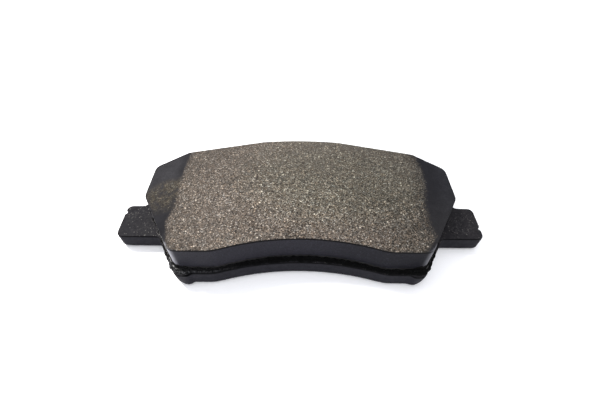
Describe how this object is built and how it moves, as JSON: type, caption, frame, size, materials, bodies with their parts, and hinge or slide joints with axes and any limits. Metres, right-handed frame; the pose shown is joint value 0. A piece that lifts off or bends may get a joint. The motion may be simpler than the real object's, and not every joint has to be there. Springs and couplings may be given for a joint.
{
  "type": "disc brake pad",
  "caption": "Disc brake pad: chamfered friction block bonded to a flat steel backing plate with two guide ears, two feet and a layered anti-squeal shim on its back.",
  "frame": {"origin": "middle of the pad's outline, on the plane of the shim's caliper face, which is the pad's lowest face as it lies on its back", "axes": "+X along the disc's circumference, from ear to ear; +Y away from the disc's centre; +Z from the caliper side to the disc side"},
  "size_m": [0.1316, 0.0576, 0.0176],
  "materials": {
    "friction_compound": "matte",
    "underlayer_mix": "satin",
    "bond_adhesive": "gloss",
    "plate_coating": "satin",
    "shim_rubber": "matte",
    "shim_steel": "satin",
    "shim_core": "matte",
    "shim_glue": "matte"
  },
  "bodies": {
    "root": {"backing_plate": "plate_coating", "bonding_film": "bond_adhesive", "underlayer": "underlayer_mix", "friction_block": "friction_compound", "shim_rubber_face": "shim_rubber", "shim_outer_steel": "shim_steel", "shim_damping_core": "shim_core", "shim_inner_steel": "shim_steel", "shim_adhesive": "shim_glue"}
  },
  "joints": []
}
